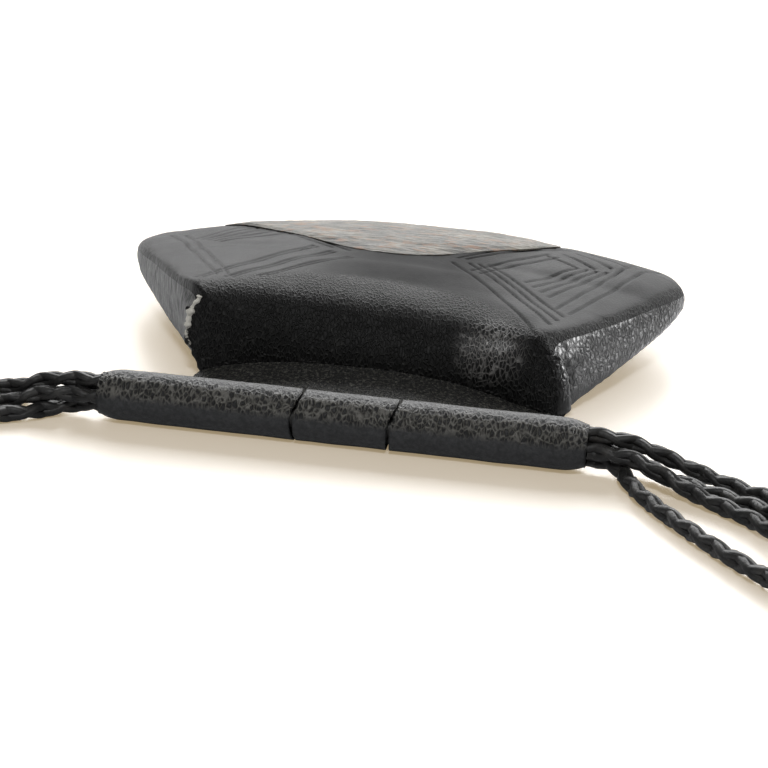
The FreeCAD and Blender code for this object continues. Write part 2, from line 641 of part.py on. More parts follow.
def bent_path(points):
    """Straight runs joined by tangent arcs as large as the runs allow, and the radii."""
    edges, radii = [], []
    at = points[0]
    for before, corner, after in zip(points, points[1:], points[2:]):
        coming, leaving = corner - before, after - corner
        run = min(coming.Length, leaving.Length)
        coming.normalize()
        leaving.normalize()
        turn = coming.getAngle(leaving)
        trim = 0.45 * run
        radii.append(trim / math.tan(turn / 2))
        first, last = corner - coming * trim, corner + leaving * trim
        inward = leaving - coming
        inward.normalize()
        sagitta = radii[-1] * (1 / math.cos(turn / 2) - 1)
        edges.append(Part.LineSegment(at, first).toShape())
        edges.append(Part.Arc(first, corner + inward * sagitta, last).toShape())
        at = last
    edges.append(Part.LineSegment(at, points[-1]).toShape())
    return Part.Wire(edges), radii


def round_tube(path, radius):
    """Solid of round section along a path, with its volume compared."""
    start = path.Edges[0]
    circle = Part.Circle(start.Vertexes[0].Point, start.tangentAt(start.FirstParameter), radius)
    tube = path.makePipeShell([Part.Wire(circle.toShape())], True, True)
    expected = math.pi * radius**2 * path.Length
    if abs(tube.Volume / expected - 1) > 0.01:
        raise ValueError(f"tube volume {tube.Volume:.1f}, expected {expected:.1f}")
    return tube


for (side, place), route in ROUTES.items():
    end_x = number(TUBE_START if side == "left" else TUBE_END)
    start = V(end_x, number(PLACES[place][0]), number(PLACES[place][1]))
    straight = V(math.copysign(size("cord_exit"), end_x), 0, 0)
    path, radii = bent_path([start, start + straight] + [V(*point) for point in route])
    print(side, place, "length", round(path.Length, 1), "radii", [round(r, 1) for r in radii])
    strand = doc.addObject("Part::Feature", f"{side}_cord_{place}")
    strand.Shape = round_tube(path, size("cord_diameter") / 2)
    strand.Placement = FreeCAD.Placement(V(0, 0, 0), FreeCAD.Rotation())
    node(strand, f"{side}_cord_{place}")

# ---------------------------------------------------------------- check and export
doc.recompute()
for obj in doc.Objects:
    if "Invalid" in obj.State or "Error" in obj.State:
        raise ValueError(f"{obj.Label}: {obj.State}")
for name, obj in NODES.items():
    if obj.Shape.isNull() or not obj.Shape.isValid() or len(obj.Shape.Solids) != 1:
        raise ValueError(f"{name} is not one valid solid")
for name, obj in NODES.items():
    obj.Shape.exportStep(f"parts/{name}.step")
print(len(NODES), "pieces")
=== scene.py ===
"""Neck pouch on a rolled cord tube: its looks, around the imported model.

Lengths are in metres.  X runs along the cord tube, Y from the tube to the pouch, Z up.
"""
import bmesh
import bpy
import math
import numpy as np
from mathutils import Matrix, Vector, noise
from mathutils.bvhtree import BVHTree


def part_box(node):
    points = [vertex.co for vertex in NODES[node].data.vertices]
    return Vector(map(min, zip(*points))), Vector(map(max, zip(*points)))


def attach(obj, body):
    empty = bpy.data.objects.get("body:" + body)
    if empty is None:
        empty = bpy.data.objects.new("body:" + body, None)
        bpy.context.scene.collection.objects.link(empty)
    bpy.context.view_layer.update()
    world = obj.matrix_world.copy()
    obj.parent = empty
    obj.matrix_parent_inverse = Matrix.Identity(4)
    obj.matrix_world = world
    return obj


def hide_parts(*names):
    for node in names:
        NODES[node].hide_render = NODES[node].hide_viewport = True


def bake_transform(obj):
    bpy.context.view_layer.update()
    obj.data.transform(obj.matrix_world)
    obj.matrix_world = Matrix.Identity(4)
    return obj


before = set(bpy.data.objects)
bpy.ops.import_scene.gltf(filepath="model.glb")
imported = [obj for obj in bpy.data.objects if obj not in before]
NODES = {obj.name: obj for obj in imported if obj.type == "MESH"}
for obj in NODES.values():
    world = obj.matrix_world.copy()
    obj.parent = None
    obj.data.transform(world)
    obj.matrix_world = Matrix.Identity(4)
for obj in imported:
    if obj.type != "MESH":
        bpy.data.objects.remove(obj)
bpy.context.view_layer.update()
MM = 0.001

# ---------------------------------------------------------------- camera
# A long lens low over the table, looking at the pouch's narrow end with the tube in front.
# It is turned and rolled a little, so that the tube runs down to the right.
AIM = Vector((-2, -30, 0)) * MM
CAMERA_AWAY = 350 * MM
CAMERA_YAW, CAMERA_RISE, CAMERA_ROLL = (math.radians(a) for a in (9.0, 20.0, 3.1))


def shown(name, data):
    """Object for a mesh, lamp or camera, linked to the scene."""
    holder = bpy.data.objects.new(name, data)
    bpy.context.scene.collection.objects.link(holder)
    return holder


camera = shown("camera", bpy.data.cameras.new("camera"))
bpy.context.scene.camera = camera
out = Vector((math.sin(CAMERA_YAW) * math.cos(CAMERA_RISE),
              -math.cos(CAMERA_YAW) * math.cos(CAMERA_RISE), math.sin(CAMERA_RISE)))
facing = out.to_track_quat("Z", "Y").to_matrix().to_4x4()
camera.matrix_world = (Matrix.Translation(AIM + out * CAMERA_AWAY) @ facing
                       @ Matrix.Rotation(CAMERA_ROLL, 4, "Z"))
camera.data.sensor_width = 36
camera.data.lens = 90.5
camera.data.shift_x = 0.026
camera.data.shift_y = 0.0156
camera.data.clip_start = 0.01

# ---------------------------------------------------------------- finishes
# Two classes that write a material's nodes: expressions on values, and a finish with its
# noises, ramps and bumps.  Sizes of patterns are in millimetres.


class Value:
    """A shader value; an expression on values adds its own Math nodes."""

    def __init__(self, finish, socket):
        self.finish = finish
        self.socket = socket

    def math(self, operation, *values):
        return self.finish.node("Math", {"operation": operation}, dict(enumerate(values)))

    def __add__(self, other):
        return self.math("ADD", self, other)

    def __sub__(self, other):
        return self.math("SUBTRACT", self, other)

    def __rsub__(self, other):
        return self.math("SUBTRACT", other, self)

    def __mul__(self, other):
        return self.math("MULTIPLY", self, other)

    def __truediv__(self, other):
        return self.math("DIVIDE", self, other)

    def __pow__(self, other):
        return self.math("POWER", self, other)

    __radd__ = __add__
    __rmul__ = __mul__


class Finish:
    """A finish with one Principled shader and the nodes that feed it."""

    def __init__(self, name, **constants):
        self.material = bpy.data.materials.new(name)
        self.material.use_nodes = True
        self.tree = self.material.node_tree
        self.shader = self.tree.nodes["Principled BSDF"]
        self.output = self.tree.nodes["Material Output"]
        self.paint(**constants)

    def paint(self, **sockets):
        """Feed the shader's sockets; an underscore in a name stands for a space."""
        for name, value in sockets.items():
            self.feed(self.shader.inputs[name.replace("_", " ")], value)

    def node(self, kind, settings=None, inputs=None, output=0):
        """Add a node, set it up, feed its sockets and hand back one of its outputs."""
        added = self.tree.nodes.new(f"ShaderNode{kind}")
        for key, value in (settings or {}).items():
            if key == "stops":
                while len(added.color_ramp.elements) < len(value):
                    added.color_ramp.elements.new(0.5)
                for element, (position, colour) in zip(added.color_ramp.elements, value):
                    shade = colour if hasattr(colour, "__len__") else (colour,) * 3
                    element.position = position
                    element.color = (*shade, 1)
            else:
                setattr(added, key, value)
        for key, value in (inputs or {}).items():
            self.feed(added.inputs[key], value)
        return Value(self, added.outputs[output])

    def feed(self, socket, value):
        """Link a socket to a value, or set it to a constant."""
        if isinstance(value, Value):
            self.tree.links.new(value.socket, socket)
        elif hasattr(value, "__len__") and len(value) == 3 and socket.type == "RGBA":
            socket.default_value = (*value, 1)
        else:
            socket.default_value = value

    def place(self, scale=(1, 1, 1), turn=(0, 0, 0)):
        """Object coordinates in millimetres, stretched and turned."""
        coords = self.node("TexCoord", output="Object")
        return self.node("Mapping", None, {
            "Vector": coords, "Scale": [s / MM for s in scale], "Rotation": turn})

    def axis(self, vector, letter):
        """One coordinate of a place or a normal."""
        return self.node("SeparateXYZ", None, {"Vector": vector}, letter)

    def noise(self, place, size, detail=3, rough=0.5):
        """Cloudy noise with features of a size."""
        return self.node("TexNoise", None, {
            "Vector": place, "Scale": 1 / size, "Detail": detail, "Roughness": rough})

    def cells(self, place, size):
        """Distance to the edges of irregular cells."""
        return self.node("TexVoronoi", {"feature": "DISTANCE_TO_EDGE"}, {
            "Vector": place, "Scale": 1 / size})

    def ramp(self, value, *stops):
        """Colours or shares read off at positions from 0 to 1."""
        return self.node("ValToRGB", {"stops": stops}, {"Fac": value})

    def rise(self, value, start, end, kind="LINEAR"):
        """Share that goes from 0 at one value to 1 at another."""
        return self.node("MapRange", {"interpolation_type": kind}, {
            "Value": value, "From Min": start, "From Max": end})

    def mix(self, share, a, b):
        """Colour a at share 0 and colour b at share 1."""
        return self.node("Mix", {"data_type": "RGBA"}, {0: share, 6: a, 7: b}, 2)

    def bump(self, height, depth, strength=1.0):
        """Normal of a relief so many millimetres deep."""
        return self.node("Bump", None, {
            "Height": height, "Distance": depth * MM, "Strength": strength})


# ---------------------------------------------------------------- table and light
# A glossy white table top that runs out of sight, under soft lamps in a white room.  Where it
# is seen the top glows a little: warm near the pouch, a painted warm reflection that tints the
# shadows there tan, and white far away, where it meets the room.
white_top = Finish("white_table", Roughness=0.3, Base_Color=(0.84, 0.84, 0.85), Emission_Strength=1)
seen = white_top.node("LightPath", output="Is Camera Ray")
away = white_top.node("VectorMath", {"operation": "LENGTH"}, {"Vector": white_top.place()}, "Value")
# painted warm reflection near the pouch, fading to white further away
glow = white_top.mix(white_top.rise(away, 180, 420), (0.32, 0.25, 0.15), (1, 1, 1))
white_top.paint(Emission_Color=white_top.mix(seen, (0, 0, 0), glow))
TABLE_SIZE = 6
TABLE_LEVEL = -0.05 * MM
bpy.ops.mesh.primitive_plane_add(size=TABLE_SIZE, location=(0, 0, TABLE_LEVEL))
table = bpy.context.object
table.name = "table"
table.data.materials.append(white_top.material)

# the room is white where it is seen, and only a weak light otherwise
ROOM_LIGHT = 0.13
world = bpy.data.worlds.new("white_room")
bpy.context.scene.world = world
world.use_nodes = True
world_nodes = world.node_tree.nodes
room = world_nodes["Background"]
room.inputs["Color"].default_value = (1, 1, 1, 1)
path = world_nodes.new("ShaderNodeLightPath")
brighter = world_nodes.new("ShaderNodeMath")
brighter.operation = "MAXIMUM"
world.node_tree.links.new(path.outputs["Is Camera Ray"], brighter.inputs[0])
brighter.inputs[1].default_value = ROOM_LIGHT
world.node_tree.links.new(brighter.outputs[0], room.inputs["Strength"])

bpy.context.scene.view_settings.view_transform = "Standard"


def lamp(name, place, aim, width, height, power):
    """Soft box at a place, turned to its aim."""
    light = bpy.data.lights.new(name, "AREA")
    light.shape = "RECTANGLE"
    light.size = width
    light.size_y = height
    light.energy = power
    holder = shown(name, light)
    holder.location = place
    holder.rotation_euler = (Vector(aim) - Vector(place)).to_track_quat("-Z", "Y").to_euler()


lamp("overhead", (-0.03, 0.60, 0.46), (0, -0.03, 0), 1.1, 0.34, 7.0)
lamp("horizon", (0, 0.95, 0.28), (0, 0, 0), 1.8, 0.38, 4.2)
lamp("glint", (0.03, -0.41, 0.47), (0.02, -0.03, 0), 0.11, 0.09, 1.0)
lamp("side", (0.60, 0.20, 0.19), (0.03, 0, 0), 0.24, 0.20, 1.5)

# ---------------------------------------------------------------- neck cords
# Eight ends of four braided leather cords.  Each leaves the tube in a diamond of four, lies
# on the table and is wound 2.5 turns into the coil of its side, where the ends are knotted.


def middle_of(node):
    """Middle of a node's box."""
    low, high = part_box(node)
    return (low + high) / 2


CORD = 2.9 * MM
COIL_MIDDLE = {side: middle_of(f"{side}_coil") for side in ("left", "right")}
AXIS_Y, AXIS_Z = middle_of("cord_tube_middle").yz
TUBE_ENDS = {"left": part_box("cord_tube_left")[0].x, "right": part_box("cord_tube_right")[1].x}
CORD_GAP = 0.06 * MM
AWAY = (CORD + CORD_GAP) / math.sqrt(2)
OFFSETS = {1: (0, AWAY), 2: (-AWAY, 0), 3: (0, -AWAY), 4: (AWAY, 0)}
STRAIGHT = 3.2 * MM
# Points that each cord passes on its way from the tube to its coil, in millimetres.
ROUTES = {
    ("left", 1): [(-53.2, -53.8, 5.9), (-62.6, -55.2, 2.6), (-76.5, -53.4, 9.2), (-92.0, -56.4, 11.3)],
    ("left", 2): [(-52.8, -56.6, 4.5), (-61.4, -58.6, 1.5), (-70.8, -61.8, 2.2), (-80.8, -59.9, 5.4)],
    ("left", 3): [(-50.6, -55.4, 1.46), (-56.6, -61.2, 1.48), (-66.6, -65.6, 1.5), (-77.0, -63.4, 2.4)],
    ("left", 4): [(-52.8, -51.8, 1.9), (-62.2, -51.6, 1.4), (-74.0, -54.4, 3.4), (-85.3, -57.6, 8.3)],
    ("right", 1): [(48.8, -53.8, 5.4), (59.6, -55.8, 1.9), (70.6, -63.6, 2.0), (77.4, -76.5, 8.0),
                   (76.1, -88.9, 11.3)],
    ("right", 2): [(48.4, -58.2, 4.5), (57.8, -63.4, 1.5), (67.4, -71.0, 1.5), (73.6, -82.2, 2.6),
                   (75.4, -94.0, 5.4)],
    ("right", 3): [(45.6, -55.8, 1.48), (46.6, -59.2, 1.48), (49.0, -65.6, 1.5), (56.0, -76.4, 1.48),
                   (66.2, -89.8, 1.5), (77.2, -102.3, 2.4)],
    ("right", 4): [(48.2, -53.2, 1.9), (55.0, -58.8, 1.48), (67.2, -65.4, 1.46), (74.9, -77.6, 4.6),
                   (75.6, -91.3, 8.3)],
}
# A coil's turns, the points of each turn, and the radius at which the cord ends.
COIL_TURNS = 2.5
TURN_POINTS = 14
INNER = 12.3 * MM


def curve_mesh(kind, lines, **settings):
    """Mesh of a curve object with one spline for each line of points."""
    curve = bpy.data.curves.new("lines", "CURVE")
    curve.dimensions = "3D"
    for name, value in settings.items():
        setattr(curve, name, value)
    for points in lines:
        spline = curve.splines.new(kind)
        spline.points.add(len(points) - 1)
        for knot, point in zip(spline.points, points):
            knot.co = (*point, 1)
        spline.order_u = 3
        spline.use_endpoint_u = True
    holder = bpy.data.objects.new("lines", curve)
    mesh = bpy.data.meshes.new_from_object(holder)
    bpy.data.objects.remove(holder)
    bpy.data.curves.remove(curve)
    return mesh


def smooth_line(points):
    """Points read along the smooth line that control points give."""
    mesh = curve_mesh("NURBS", [points], resolution_u=6)
    line = [vert.co.copy() for vert in mesh.vertices]
    bpy.data.meshes.remove(mesh)
    return line


def rods(name, lines, radius):
    """Piece of round rods along lines."""
    mesh = curve_mesh("POLY", lines, bevel_depth=radius, bevel_resolution=1, use_fill_caps=True)
    mesh.shade_smooth()
    return shown(name, mesh)


def line_length(line):
    """Length of a line of points."""
    return sum((b - a).length for a, b in zip(line, line[1:]))


def evenly(line, steps):
    """A line read in even steps: each point with the line's direction there."""
    reach = [0.0]
    for a, b in zip(line, line[1:]):
        reach.append(reach[-1] + (b - a).length)
    read, i = [], 0
    for k in range(steps + 1):
        goal = reach[-1] * k / steps
        while i < len(line) - 2 and reach[i + 1] < goal:
            i += 1
        share = min(1, (goal - reach[i]) / max(1e-9, reach[i + 1] - reach[i]))
        read.append((line[i].lerp(line[i + 1], share), (line[i + 1] - line[i]).normalized()))
    return read


BRAID_PITCH = 12 * MM
BRAID_STEP = 0.6 * MM
# Parts of the cord's radius: a strand's radius, the radius of its path, and how far it
# swings out and in to pass over and under.
STRAND, STRAND_PATH, STRAND_SWING = 0.55, 0.45, 0.07


def braid(name, line, radius):
    """Round braid of four strands, two wound each way, passing over and under."""
    length = line_length(line)
    read = evenly(line, round(length / BRAID_STEP))
    strands = [[] for _ in range(4)]
    side = read[0][1].orthogonal().normalized()
    for k, (point, along) in enumerate(read):
        side = (side - along * side.dot(along)).normalized()
        up = along.cross(side)
        phase = 2 * math.pi * k * length / (len(read) - 1) / BRAID_PITCH
        for s in range(4):
            way = 1 if s < 2 else -1
            angle = way * phase + s * math.pi + (0.5 * math.pi if s > 1 else 0)
            swing = STRAND_SWING * way * math.cos(2 * phase + math.pi / 2)
            spoke = side * math.cos(angle) + up * math.sin(angle)
            strands[s].append(point + spoke * (radius * (STRAND_PATH + swing)))
    return rods(name, strands, radius * STRAND)


braid_leather = Finish("braided_leather", Roughness=0.5, Specular_IOR_Level=0.5)
grain = braid_leather.noise(braid_leather.place(), 0.7, 4, 0.6)
wear = braid_leather.noise(braid_leather.place(), 2.6)
braid_leather.paint(
    Base_Color=braid_leather.ramp(wear, (0.35, (0.011, 0.011, 0.011)), (0.60, (0.030, 0.029, 0.027)),
                                  (0.80, (0.060, 0.055, 0.048))),
    Roughness=grain * 0.4 + 0.28,
    Normal=braid_leather.bump(grain, 0.25, 0.6))

KNOT_RADIUS = 2.5 * MM
cords = {}
for (side, number), route in ROUTES.items():
    outward = -1 if side == "left" else 1
    back, up = OFFSETS[number]
    exit_point = Vector((TUBE_ENDS[side], AXIS_Y + back, AXIS_Z + up))
    points = [exit_point, exit_point + Vector((outward * STRAIGHT, 0, 0))]
    points += [Vector(p) * MM for p in route]
    middle = COIL_MIDDLE[side]
    entry = points[-1]
    spoke = (entry - middle).xy
    start_angle = math.atan2(spoke.y, spoke.x)
    count = round(COIL_TURNS * TURN_POINTS)
    for k in range(1, count + 1):
        share = k / count
        angle = start_angle + 2 * math.pi * COIL_TURNS * share
        radius = spoke.length + (INNER - spoke.length) * share
        points.append(Vector((middle.x + radius * math.cos(angle),
                              middle.y + radius * math.sin(angle), entry.z)))
    # the last turn bends in smoothly to the knot
    knot_middle = middle_of(f"{side}_end_knot")
    tail = knot_middle + (points[-1] - knot_middle).normalized() * KNOT_RADIUS
    points.append(points[-1].lerp(tail, 0.5) + (points[-1] - points[-2]) * 0.35)
    points.append(tail)
    line = smooth_line(points)
    name = f"braided_{side}_{number}"
    piece = braid(name, line, CORD / 2)
    piece.data.materials.append(braid_leather.material)
    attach(piece, "cord_tube")
    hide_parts(f"{side}_cord_{number}", *([f"{side}_coil"] if number == 1 else []))
    cords[side, number] = (piece, line, exit_point)
    print(name, "length", round(line_length(line), 4))

# Each coil is held by three turns of thin lace, drawn tight round its cords.
LACE = 1.5 * MM
LACE_TURNS = 3
LACE_POINTS = 40
LACE_CLEAR = CORD / 2 + LACE * 0.3
HELD_WITHIN = 2 * MM
for side, middle in COIL_MIDDLE.items():
    spoke = (middle_of(f"{side}_coil_tie") - middle) * Vector((1, 1, 0))
    spoke.normalize()
    sideways = Vector((-spoke.y, spoke.x, 0))
    # the cords' middle lines where they pass under the lace
    lines = [line for (cord_side, _), (_, line, _) in cords.items() if cord_side == side]
    around = [point - middle for line in lines for point in line]
    held = [point for point in around if abs(point.dot(sideways)) < HELD_WITHIN < point.dot(spoke)]
    inner, outer = (end(point.dot(spoke) for point in held) for end in (min, max))
    low, high = (end(point.z for point in held) for end in (min, max))
    turns = []
    for k in range(LACE_TURNS * LACE_POINTS + 1):
        angle = 2 * math.pi * k / LACE_POINTS
        # a square with round corners
        wide, tall = (math.copysign(abs(f(angle)) ** 0.5, f(angle)) for f in (math.cos, math.sin))
        out_by = (inner + outer) / 2 + wide * ((outer - inner) / 2 + LACE_CLEAR)
        up_by = (low + high) / 2 + tall * ((high - low) / 2 + LACE_CLEAR)
        side_by = LACE * (k / LACE_POINTS - LACE_TURNS / 2)
        turns.append(middle + spoke * out_by + Vector((0, 0, up_by)) + sideways * side_by)
    lace = rods(f"{side}_lace", [turns], LACE / 2)
    lace.data.materials.append(braid_leather.material)
    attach(lace, "cord_tube")
    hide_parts(f"{side}_coil_tie")

for node in ("tube_cord_1", "tube_cord_2", "tube_cord_3", "tube_cord_4", "left_end_knot",
             "right_end_knot"):
    slots = NODES[node].data.materials
    slots.clear()
    slots.append(braid_leather.material)
for (side, _), (piece, line, exit_point) in cords.items():
    line_length(line)

# ---------------------------------------------------------------- pouch form
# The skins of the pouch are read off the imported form, cut by cut, and set a little askew:
# the narrow end leans left, and its left corner stands higher than the right one.
OUTSIDE = ("face_leather", "window_inset", "left_side_leather", "right_side_leather",
           "far_end_leather", "back_leather")
FACE_LOW, FACE_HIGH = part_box("face_leather")
NEAR_Y, FAR_Y, CROWN = FACE_LOW.y, FACE_HIGH.y, FACE_HIGH.z
CORNER_Y = max(NODES["face_leather"].data.vertices, key=lambda v: v.co.x).co.y
POUCH_MIDDLE = Vector((0, (NEAR_Y + FAR_Y) / 2, CROWN * 0.4))
FRONT_ROUND = 4 * MM
SIDES_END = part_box("left_side_leather")[1].y
# Height of the face's seam along the pouch.
SEAM = ((-31 * MM, 14.7 * MM), (14 * MM, 10.9 * MM), (39.1 * MM, 8.9 * MM))
CELL = 0.36 * MM
DOWN = Vector((0, 0, -1))
# Where search rays start, in millimetres: beside the pouch, and above it.
BESIDE, ABOVE = 90, 60


def tree_of(*names):
    """Search tree of some nodes' surfaces."""
    shape = bmesh.new()
    for name in names:
        shape.from_mesh(NODES[name].data)
    tree = BVHTree.FromBMesh(shape, epsilon=0.01 * MM)
    shape.free()
    return tree


def along(stations, x):
    """Height at x on a broken line."""
    for (x0, z0), (x1, z1) in zip(stations, stations[1:]):
        if x <= x1:
            break
    return z0 + (z1 - z0) * (x - x0) / (x1 - x0)


def resample(line, count):
    """So many points at even steps along a line."""
    return [point for point, _ in evenly(line, count - 1)]


def limited(share):
    """A share kept between 0 and 1."""
    return min(1, max(0, share))


def hill(*offsets):
    """Smooth hill, 1 at its top; each offset from the top is given in radii of the hill."""
    return math.exp(-sum(offset ** 2 for offset in offsets))


def askew(point):
    """Where a point of the true form lies on the hand-made pouch; worked out in millimetres."""
    x, y, z = point / MM
    depth = limited((point.y - NEAR_Y) / (CORNER_Y - NEAR_Y))
    height = point.z / CROWN
    # the narrow end leans left, the left corner stands high and bulges out
    lean = (1.4 - 4.4 * height) * (1 - depth) - 1.3 * depth
    lean -= 1.8 * depth * min(1, z / 4) * limited(-x / 35)
    twist = max(0, x) * height * 0.03 * depth - x * height * 0.052 * (1 - depth)
    twist += 1.3 * height * hill((x - 45) / 8, (y - 12) / 12)
    # the walls are full at mid height
    mid_height = math.sin(math.pi * limited(z / 15))
    lean += mid_height * (0.4 + 0.6 * depth) * (1.9 * limited(x / 30) - 1.2 * limited(-x / 30))
    # the seams of both near corners wander
    wander = 2.3 * hill((z - 14.4) / 2) - 1.2 * hill((z - 7) / 2.8)
    lean += wander * hill((x + 33) / 5, (y + 30) / 6)
    lean -= 1.3 * hill((z - 15) / 4, (x - 33) / 5, (y + 30) / 6)
    # the upper edge of the narrow end is soft and full, and its wall bulges
    near = max(0, 1 - abs(y - NEAR_Y / MM) / 12)
    sink = 2.6 * max(0, 1 - (x / 32) ** 4) * near ** 2 * limited((z - 5) / 10)
    bulge = 2.0 * max(0, 1 - (x / 33) ** 2) * near ** 3 * mid_height
    bulge += 0.7 * near ** 3 * hill((x - 22) / 8, (z - 9) / 5)
    return Vector((x + lean, y - bulge, z + twist - sink)) * MM


outside = tree_of(*OUTSIDE)
CUT_START, CUT_END = math.radians(-60), math.radians(240)
CUT_RAYS = 1200
CUT_HEIGHT = 6 * MM
SKIN_EDGE = 0.02 * MM
# The walls end just above the back, and a cut always keeps a strip of face above its seam.
BACK_EDGE = 0.08 * MM
FACE_STRIP = 0.3 * MM


def cut(y):
    """Outline of the pouch at y, from the right edge of the back over the face to the left."""
    y = min(FAR_Y - SKIN_EDGE, max(NEAR_Y + SKIN_EDGE, y))
    middle = Vector((0, y, CUT_HEIGHT))
    line = []
    for k in range(CUT_RAYS + 1):
        angle = CUT_START + (CUT_END - CUT_START) * k / CUT_RAYS
        way = Vector((math.cos(angle), 0, math.sin(angle)))
        hit = outside.ray_cast(middle + way * BESIDE * MM, -way)[0]
        if hit:
            line.append(hit)
    return line


def split_cut(y):
    """The cut's right wall, face and left wall, parted at the face's seam."""
    line = cut(y)
    # the seam sinks with the rounding of the narrow end
    rounding = min(FRONT_ROUND, max(0, NEAR_Y + FRONT_ROUND - y))
    seam = along(SEAM, y) - FRONT_ROUND + math.sqrt(FRONT_ROUND ** 2 - rounding ** 2)
    seam = min(seam, max(p.z for p in line) - FACE_STRIP)
    up = next(i for i, p in enumerate(line) if p.z > seam)
    down = len(line) - next(i for i, p in enumerate(reversed(line)) if p.z > seam)
    right = [p for p in line[:up] if p.z > BACK_EDGE]
    left = [p for p in line[down:] if p.z > BACK_EDGE]
    return right, line[up:down], left


def softened(rows, times):
    """The same rows with every inner point drawn towards its four neighbours."""
    grid = np.array([[tuple(point) for point in row] for row in rows])
    for _ in range(times):
        around = (grid[:-2, 1:-1] + grid[2:, 1:-1] + grid[1:-1, :-2] + grid[1:-1, 2:]) / 4
        grid[1:-1, 1:-1] += 0.5 * (around - grid[1:-1, 1:-1])
    return [[Vector(point) for point in row] for row in grid]


# Rows of points round the pouch, each up its right wall, over the face and down its left wall.
ACROSS = 290
UP_WALL = 56
INSET_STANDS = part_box("window_inset")[1].z - CROWN
window = tree_of("window_inset")
# The first rows divide the rounding of the narrow end by its angle, from 12/16 of a right angle
# on, where the first cut is clean.
ROUND_FIRST, ROUND_STEPS = 12, 16
STRAIGHT_LENGTH = FAR_Y - NEAR_Y - FRONT_ROUND
steps = round(STRAIGHT_LENGTH / CELL)
row_ys = [NEAR_Y + FRONT_ROUND * (1 - math.sin(math.pi / 2 * k / ROUND_STEPS))
          for k in range(ROUND_FIRST, 0, -1)]
row_ys += [NEAR_Y + FRONT_ROUND + STRAIGHT_LENGTH * k / steps for k in range(steps + 1)]
skin_rows = []
for y in row_ys:
    right, top, left = split_cut(y)
    top = resample(top, ACROSS)
    for point in top:
        if window.ray_cast(Vector((point.x, point.y, ABOVE * MM)), DOWN)[0]:
            point.z -= INSET_STANDS
    skin_rows.append(resample(right, UP_WALL) + top + resample(left, UP_WALL))

# The crown bends evenly from the narrow end to the far one: each height is the mean of those
# of the rows around it, except in the rounding at the narrow end.
SOFT_REACH, SHARP_ROWS = 18, 20
SKIN_SOFTENING = 70
heights = [[point.z for point in row] for row in skin_rows]
for j, row in enumerate(skin_rows):
    reach = max(0, min(SOFT_REACH, j - SHARP_ROWS, len(skin_rows) - 1 - j))
    for i in range(UP_WALL, UP_WALL + ACROSS):
        row[i].z = sum(heights[k][i] for k in range(j - reach, j + reach + 1)) / (2 * reach + 1)
skin_rows = softened(skin_rows, SKIN_SOFTENING)


def sheet_grid(rows):
    """Open grid of faces through rows of points."""
    shape = bmesh.new()
    across, back = len(rows[0]) - 1, len(rows) - 1
    bmesh.ops.create_grid(shape, x_segments=across, y_segments=back, size=1)
    for vert in shape.verts:
        i, j = round((1 - vert.co.x) / 2 * across), round((vert.co.y + 1) / 2 * back)
        vert.co = rows[j][i]
    shape.normal_update()
    return shape


def open_rim(shape):
    """Edges along a sheet's open rim."""
    return [edge for edge in shape.edges if edge.is_boundary]


def extruded_rim(shape):
    """New points along a sheet's rim, joined to the old ones by a strip of faces."""
    made = bmesh.ops.extrude_edge_only(shape, edges=open_rim(shape))["geom"]
    return [item for item in made if isinstance(item, bmesh.types.BMVert)]


def mesh_of(name, shape):
    """Mesh of a shape, which is given up."""
    mesh = bpy.data.meshes.new(name)
    shape.to_mesh(mesh)
    shape.free()
    return mesh


# Share of the way to the pouch's middle at which a sheet is closed.
CLOSED_INSIDE = 0.12
SHARP_ANGLE = math.radians(55)


def laid(name, rows, thickness, relief=None):
    """Closed sheet with its outer side through rows of points, moved out by its relief."""
    shape = sheet_grid(rows)
    marks = shape.verts.layers.float.new("mark")
    if relief:
        moved = []
        for vert in shape.verts:
            height, mark = relief(vert.co, vert.normal)
            vert[marks] = mark
            moved.append((vert, vert.co + vert.normal * height))
        for vert, target in moved:
            vert.co = target
    for vert in shape.verts:
        vert.co = askew(vert.co)
    shape.normal_update()
    for vert in extruded_rim(shape):
        twin = max((e.other_vert(vert) for e in vert.link_edges), key=lambda v: len(v.link_edges))
        vert.co = twin.co - twin.normal * thickness
    # the rim is closed well inside the pouch, clear of the hollows in the sheet
    for vert in extruded_rim(shape):
        vert.co = vert.co.lerp(POUCH_MIDDLE, CLOSED_INSIDE)
    filled = bmesh.ops.edgeloop_fill(shape, edges=open_rim(shape))["faces"]
    bmesh.ops.triangulate(shape, faces=filled)
    bmesh.ops.recalc_face_normals(shape, faces=shape.faces)
    mesh = mesh_of(name, shape)
    mesh.shade_smooth()
    mesh.set_sharp_from_angle(angle=SHARP_ANGLE)
    return shown(name, mesh)


def dress(piece, finish, body, slot, *nodes):
    """Give a piece its finish and its body, and hide the nodes it stands for; the slot is not used."""
    piece.data.materials.clear()
    piece.data.materials.append(finish.material)
    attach(piece, body)
    if nodes:
        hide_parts(*nodes)


# ---------------------------------------------------------------- face
# One panel of tooled leather: satin on the face, glossy and grained where it turns down
# over the narrow end.
face_finish = Finish("tooled_leather", Specular_IOR_Level=0.05)
spot = face_finish.place()
across = face_finish.axis(spot, "X")
back = face_finish.axis(spot, "Y")
fine = face_finish.noise(spot, 0.45, 4, 0.6)
wear = face_finish.noise(spot, 7, 4, 0.6)
wander = face_finish.noise(face_finish.place((1, 1, 0.5)), 1.6, 3)
right_part = face_finish.rise(across, -5, 5)

# where the satin top ends: an uneven line, further down at the middle than at the corners
grain_edge = (across.math("ABSOLUTE", across + 3) / 35) ** 2.6 * -12 - 17
top_share = face_finish.rise(back - grain_edge + (wander - 0.5) * 3, -2.4, 1.6, "SMOOTHSTEP")
